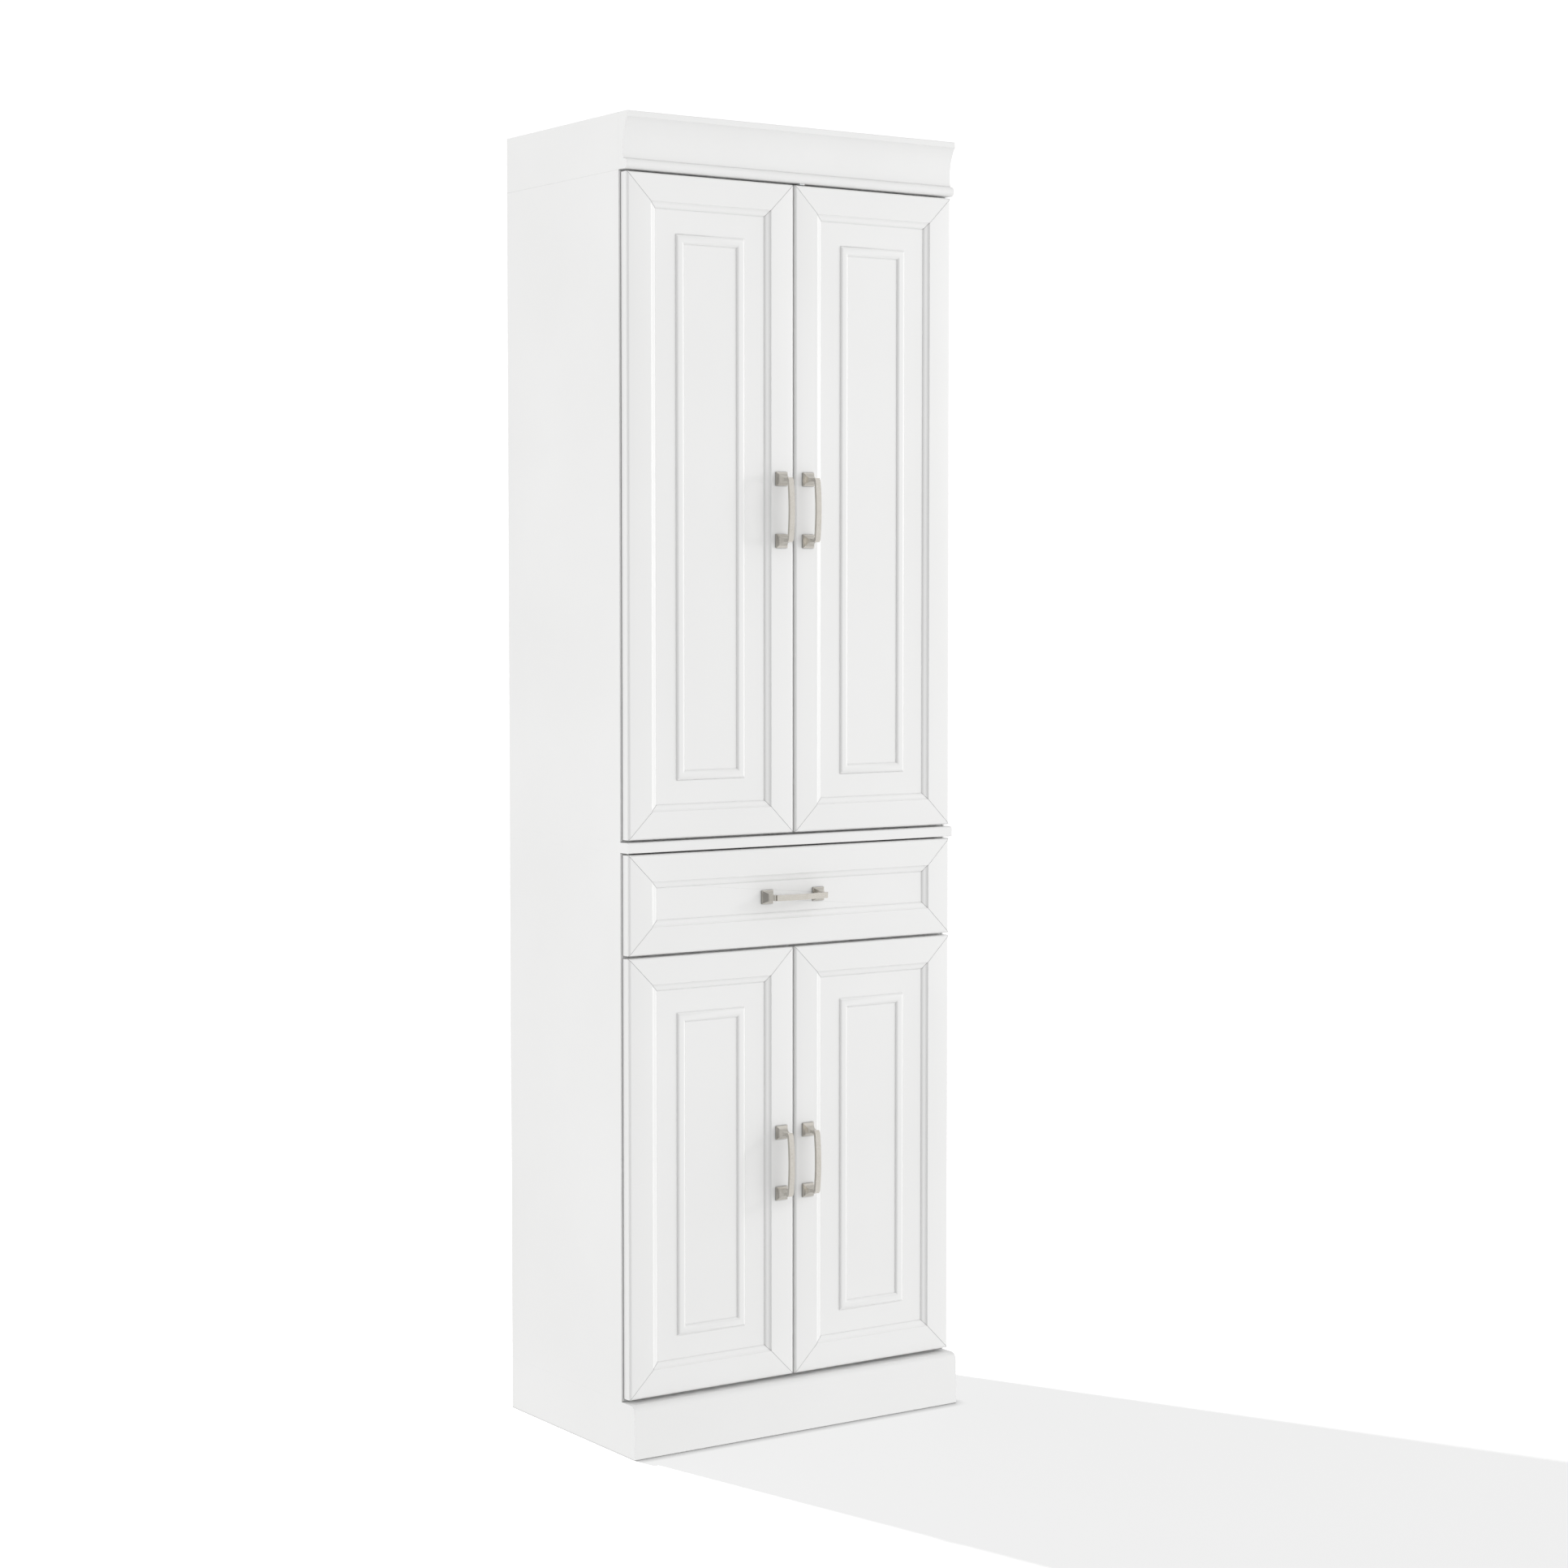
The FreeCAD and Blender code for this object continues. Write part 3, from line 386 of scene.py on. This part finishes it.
def strip(name, low, high, finish):
    """A thin straight strip between two corners, its edges eased, riding on the cabinet."""
    build = bmesh.new()
    bmesh.ops.create_cube(build, size=1.0)
    for vert in build.verts:
        vert.co = [a + (b - a) * (place + 0.5) for a, b, place in zip(low, high, vert.co)]
    thinnest = min(b - a for a, b in zip(low, high))
    offset = thinnest * STRIP_EASED
    bmesh.ops.bevel(build, geom=build.edges[:], offset=offset, segments=2, affect="EDGES")
    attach(made_piece(name, build, finish), "cabinet")


def joint_shadow():
    """Painted shadow: a dark finish standing for the shade inside an open joint."""
    s = Shader("joint_shadow")
    return s.give(
        Base_Color=s.tinted(s.noise(40), (0.10, 0.10, 0.095), (0.16, 0.16, 0.15)),
        Roughness=0.8,
        Specular_IOR_Level=0.1,
    )


def joint_shadow_lines_and_bands():
    """Dark strips of painted shadow in the open joints between the stacked boards, and a band on the front
    edge of each side.
    """
    # Painted shadow: the dark strips stand for the shade inside the open joints.
    dark = joint_shadow()
    for side, way in (("left", -1), ("right", 1)):
        crown_low, crown_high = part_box(f"crown_side_{side}")
        outside = crown_low[0] if way < 0 else crown_high[0]
        front, back = crown_low[1], crown_high[1]
        face = outside - way * JOINT_SUNK
        x = sorted((face, face - way * JOINT_DEEP))
        strip(
            f"crown_joint_{side}",
            (x[0], front - JOINT_HALF, crown_low[2]),
            (x[1], front + JOINT_HALF, crown_high[2] - JOINT_FROM_END),
            dark,
        )
        for level in ("upper", "lower"):
            low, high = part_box(f"{level}_side_{side}")
            for end, z in (("under", low[2]), ("over", high[2])):
                strip(
                    f"{level}_joint_{end}_{side}",
                    (x[0], front, z - JOINT_HALF),
                    (x[1], back - JOINT_FROM_END, z + JOINT_HALF),
                    dark,
                )
            band = sorted((outside, outside - way * BAND_WIDE))
            strip(
                f"{level}_edge_band_{side}",
                (band[0], front - BAND_PROUD, low[2] + BAND_LAP),
                (band[1], front + BAND_LAP, high[2] - BAND_LAP),
                finishes["white_lacquer"],
            )


joint_shadow_lines_and_bands()


# ---------------------------------------------------------------- floor

FLOOR_RADIUS = 3.0
FLOOR_GLOW = 0.775
FLOOR_DARK = (0.12, 0.12, 0.119)
FLOOR_LIGHT = (0.125, 0.125, 0.124)
# Reach of the painted contact shadow that darkens the floor's glow near the cabinet.
PAINTED_CONTACT_SHADOW_REACH = 0.02


def floor():
    """A pale glowing floor, as a lit table is, so that its one shadow stays light and even. Its glow darkens
    close to the cabinet as a painted contact shadow.
    """
    bpy.ops.mesh.primitive_circle_add(vertices=96, radius=FLOOR_RADIUS, fill_type="NGON")
    plane = bpy.context.object
    plane.name = "floor"
    s = Shader("pale_floor")
    material = s.give(
        Base_Color=s.tinted(s.noise(1.3), FLOOR_DARK, FLOOR_LIGHT),
        Roughness=0.9,
        Specular_IOR_Level=0.0,
        # Painted contact shadow: ambient occlusion dims the glow where the floor meets the cabinet.
        Emission_Color=s.openness(PAINTED_CONTACT_SHADOW_REACH, samples=8)["Color"],
        Emission_Strength=FLOOR_GLOW,
    )
    plane.data.materials.append(material)
    plane.visible_diffuse = False
    plane.visible_glossy = False
    plane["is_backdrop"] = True
    return plane


# ---------------------------------------------------------------- world light

WHITE = (1, 1, 1, 1)
SKY_SEEN = 1.1
SKY_BASE = 0.40
SKY_SIDES = 1.40
SKY_BACK = 0.34
SKY_AXIS = math.radians(45)
SHEEN_LEFT = 0.4
SHEEN_RIGHT = 1.1
SHEEN_FROM = -0.35
SHEEN_TO = 0.4
# The world counts a ray one step on from its bounce: 1 from the camera, 2 after the first bounce.
AFTER_FIRST_BOUNCE = 2.5


def surroundings():
    """White to look at. As light, an even sky with a bright wall at the right front and one at the left back.
    Polished pieces mirror a room that is bright on the right and dark on the left."""
    world = bpy.data.worlds.new("studio")
    world.cycles.sampling_method = "NONE"
    scene.world = world
    world.use_nodes = True
    w = Tree(world.node_tree)
    seen = w.tree.nodes["Background"]
    w.fill(seen, {"Color": WHITE, "Strength": SKY_SEEN})

    def glow(strength):
        return w.node("Background", {"Color": WHITE, "Strength": strength}).outputs[0]

    def either(choice, when_not, when_so):
        return w.node("MixShader", {"Fac": choice, 1: when_not, 2: when_so}).outputs[0]

    direction = w.node("TexCoord", {}).outputs["Generated"]
    axis = (math.sin(SKY_AXIS), -math.cos(SKY_AXIS), 0)
    towards = w.node("VectorMath", {0: direction, 1: axis}, operation="DOT_PRODUCT").outputs["Value"]
    squared = w.reckon("MULTIPLY", towards, towards)
    behind = w.reckon("LESS_THAN", towards, 0)
    walls = w.reckon("MULTIPLY_ADD", behind, SKY_BACK, SKY_SIDES)
    light = glow(w.reckon("MULTIPLY_ADD", squared, walls, SKY_BASE))

    rightward = w.node("SeparateXYZ", {0: direction}).outputs["X"]
    mirrored = glow(w.spread(rightward, SHEEN_LEFT, SHEEN_RIGHT, SHEEN_FROM, SHEEN_TO, "SMOOTHSTEP"))

    ray = w.node("LightPath", {}).outputs
    first = w.reckon("LESS_THAN", ray["Ray Depth"], AFTER_FIRST_BOUNCE)
    lit = either(w.reckon("MULTIPLY", ray["Is Glossy Ray"], first), light, mirrored)
    surface = either(ray["Is Camera Ray"], lit, seen.outputs[0])
    w.fill(w.tree.nodes["World Output"], {"Surface": surface})


# ---------------------------------------------------------------- lamps and camera

KEY = {"place": (2.5, -1.4, 1.53), "target": (0, 0, 1.1), "size": 0.4, "power": 9.5}
BACK = {"place": (-0.93, 2.66, 5.2), "target": (0.3, -0.6, 0), "size": 0.15, "power": 3200}
LENS = 72.16
SENSOR = 36
SHIFT_UP = -0.022
EYE = (-2.751, -4.207, 1.320)
YAW = math.radians(34.049)
LOOK_DOWN = math.radians(2.918)


def panel_light(name, place, target, size, power, lit):
    """A soft square light at a place, turned to a target; it reaches only the pieces in lit."""
    lamp = bpy.data.lights.new(name, "AREA")
    lamp.size = size
    lamp.energy = power
    holder = bpy.data.objects.new(name, lamp)
    scene.collection.objects.link(holder)
    holder.location = place
    holder.rotation_euler = (Vector(target) - Vector(place)).to_track_quat("-Z", "Y").to_euler()
    reached = bpy.data.collections.new("lit_by_" + name)
    for piece in lit:
        reached.objects.link(piece)
    holder.light_linking.receiver_collection = reached


def photograph_camera():
    """A long lens from the front left at chest height, looking down by a few degrees."""
    lens = bpy.data.cameras.new("camera")
    lens.lens = LENS
    lens.sensor_width = SENSOR
    lens.shift_y = SHIFT_UP
    camera = bpy.data.objects.new("camera", lens)
    scene.collection.objects.link(camera)
    camera.location = EYE
    level = math.cos(LOOK_DOWN)
    ahead = Vector((math.sin(YAW) * level, math.cos(YAW) * level, -math.sin(LOOK_DOWN)))
    camera.rotation_euler = ahead.to_track_quat("-Z", "Y").to_euler()
    scene.camera = camera


ground = floor()
surroundings()
panel_light("key", **KEY, lit=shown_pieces())
panel_light("back", **BACK, lit=[ground])
photograph_camera()
